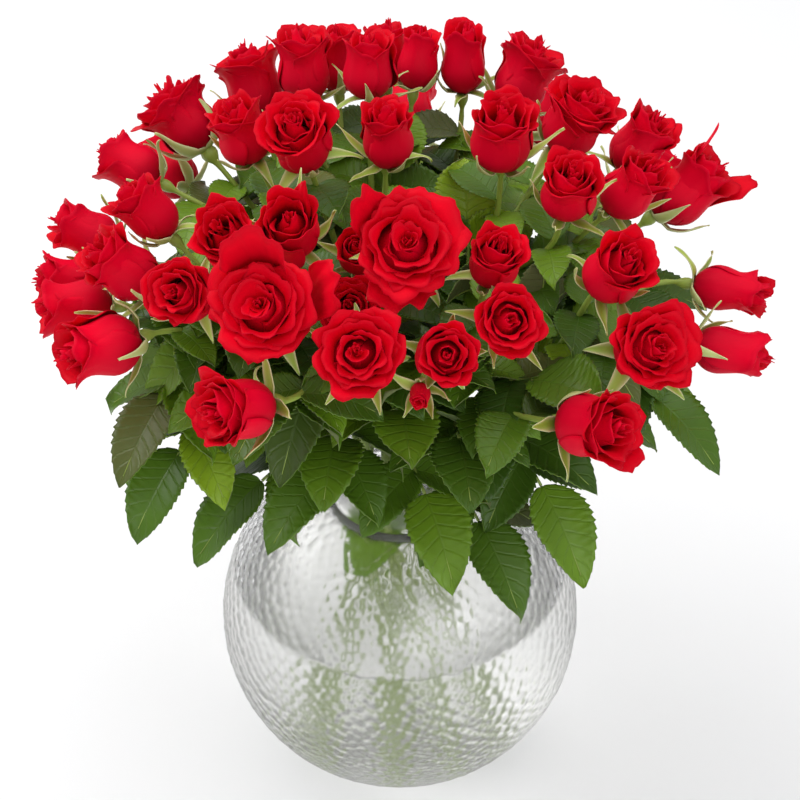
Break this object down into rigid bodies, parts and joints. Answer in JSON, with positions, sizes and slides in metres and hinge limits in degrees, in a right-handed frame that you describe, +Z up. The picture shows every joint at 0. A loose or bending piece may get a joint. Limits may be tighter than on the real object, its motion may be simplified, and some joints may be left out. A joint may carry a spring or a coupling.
{
  "type": "vase of roses",
  "caption": "Round bouquet of red spray roses with buds, open blooms and compound leaves, standing in a clear ball-shaped glass vase of water.",
  "frame": {"origin": "centre of the flat foot of the vase, on the surface that it stands on", "axes": "+Z up along the axis of the vase; -Y towards the bouquet's front; X to its right"},
  "size_m": [0.3634, 0.3364, 0.4258],
  "materials": {
    "glass": "clear blown glass with a fine hammered pattern",
    "water": "still clear water",
    "stem": "living green stems, stalks, sepals and leaves, softly glossy",
    "petal": "velvety deep red petals"
  },
  "bodies": {
    "root": {"bloom_back_1": "petal", "bloom_back_2": "petal", "bloom_back_3": "petal", "bloom_back_4": "petal", "bloom_back_left_1": "petal", "bloom_back_left_2": "petal", "bloom_back_left_3": "petal", "bloom_back_left_4": "petal", "bloom_back_left_5": "petal", "bloom_back_right_1": "petal", "bloom_back_right_2": "petal", "bloom_back_right_3": "petal", "bloom_back_right_4": "petal", "bloom_back_right_5": "petal", "bloom_front_1": "petal", "bloom_front_2": "petal", "bloom_front_3": "petal", "bloom_front_4": "petal", "bloom_front_5": "petal", "bloom_front_left_1": "petal", "bloom_front_left_2": "petal", "bloom_front_left_3": "petal", "bloom_front_left_4": "petal", "bloom_front_left_5": "petal", "bloom_front_right_1": "petal", "bloom_front_right_2": "petal", "bloom_front_right_3": "petal", "bloom_left_1": "petal", "bloom_left_2": "petal", "bloom_left_3": "petal", "bloom_left_4": "petal", "bloom_left_5": "petal", "bloom_left_6": "petal", "bloom_right_1": "petal", "bloom_right_2": "petal", "bloom_right_3": "petal", "bloom_right_4": "petal", "bloom_right_back_1": "petal", "bloom_right_back_2": "petal", "bloom_right_back_3": "petal", "bloom_right_back_4": "petal", "bloom_top_left_1": "petal", "bloom_top_left_2": "petal", "bloom_top_left_3": "petal", "bloom_top_right_1": "petal", "bloom_top_right_2": "petal", "bloom_top_right_3": "petal", "stem_back": "stem", "stem_back_left": "stem", "stem_back_right": "stem", "stem_front": "stem", "stem_front_left": "stem", "stem_front_right": "stem", "stem_left": "stem", "stem_right": "stem", "stem_right_back": "stem", "stem_top_left": "stem", "stem_top_right": "stem", "vase": "glass", "water": "water"}
  },
  "joints": []
}
